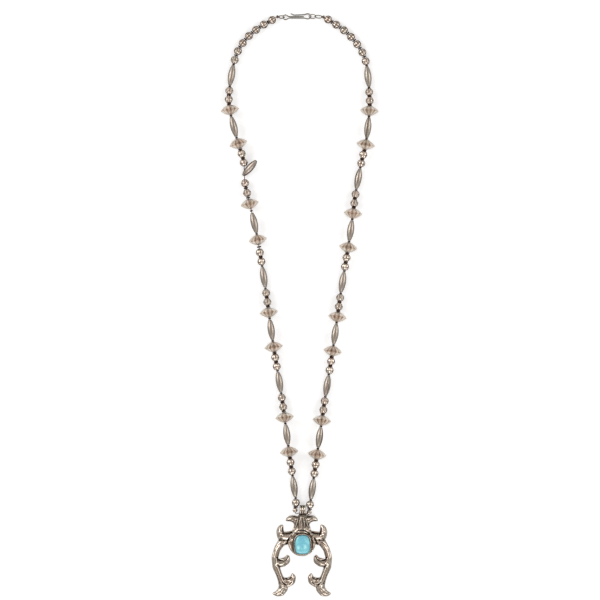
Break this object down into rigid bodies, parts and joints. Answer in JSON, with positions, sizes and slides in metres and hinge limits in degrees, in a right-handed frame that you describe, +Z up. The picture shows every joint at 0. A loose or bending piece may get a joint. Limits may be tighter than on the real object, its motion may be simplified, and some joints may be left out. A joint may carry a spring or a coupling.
{
  "type": "naja pendant necklace",
  "caption": "Long necklace of round, spindle and fluted saucer beads with a cast crescent pendant that holds a turquoise stone, and a hook clasp.",
  "frame": {"origin": "under the middle of the necklace's box, on the surface that it lies on", "axes": "+Y from the pendant to the clasp, +Z up off the surface"},
  "size_m": [0.1136, 0.42, 0.0134],
  "materials": {
    "cast_silver": "sand-cast silver, worn bright on the ridges and dark in the recesses",
    "bead_silver": "fluted silver beads with dark grooves",
    "spindle_silver": "smooth worn silver with a lengthwise seam",
    "saucer_silver": "pale silver with dark recesses at the fluted rim",
    "dark_metal": "blackened silver",
    "string_wire": "dull dark wire",
    "clasp_wire": "plain grey silver wire",
    "turquoise": "polished opaque stone"
  },
  "bodies": {
    "root": {"naja": "cast_silver", "turquoise": "turquoise", "bead_string": "string_wire", "hook": "clasp_wire", "catch_ring": "clasp_wire", "oval_link_left": "clasp_wire", "oval_link_right": "clasp_wire", "end_tube_left": "dark_metal", "end_tube_right": "dark_metal", "round_beads_left": "bead_silver", "round_beads_right": "bead_silver", "dark_discs_left": "dark_metal", "dark_discs_right": "dark_metal", "spindle_left_1": "spindle_silver", "spindle_left_2": "spindle_silver", "spindle_left_3": "spindle_silver", "spindle_left_4": "spindle_silver", "spindle_left_5": "spindle_silver", "spindle_left_6": "spindle_silver", "spindle_left_7": "spindle_silver", "spindle_left_8": "spindle_silver", "spindle_left_9": "spindle_silver", "spindle_right_1": "spindle_silver", "spindle_right_2": "spindle_silver", "spindle_right_3": "spindle_silver", "spindle_right_4": "spindle_silver", "spindle_right_5": "spindle_silver", "spindle_right_6": "spindle_silver", "spindle_right_7": "spindle_silver", "spindle_right_8": "spindle_silver", "spindle_right_9": "spindle_silver", "saucer_left_1": "saucer_silver", "saucer_left_2": "saucer_silver", "saucer_left_3": "saucer_silver", "saucer_left_4": "saucer_silver", "saucer_left_5": "saucer_silver", "saucer_left_6": "saucer_silver", "saucer_left_7": "saucer_silver", "saucer_left_8": "saucer_silver", "saucer_right_1": "saucer_silver", "saucer_right_2": "saucer_silver", "saucer_right_3": "saucer_silver", "saucer_right_4": "saucer_silver", "saucer_right_5": "saucer_silver", "saucer_right_6": "saucer_silver", "saucer_right_7": "saucer_silver", "saucer_right_8": "saucer_silver"}
  },
  "joints": []
}
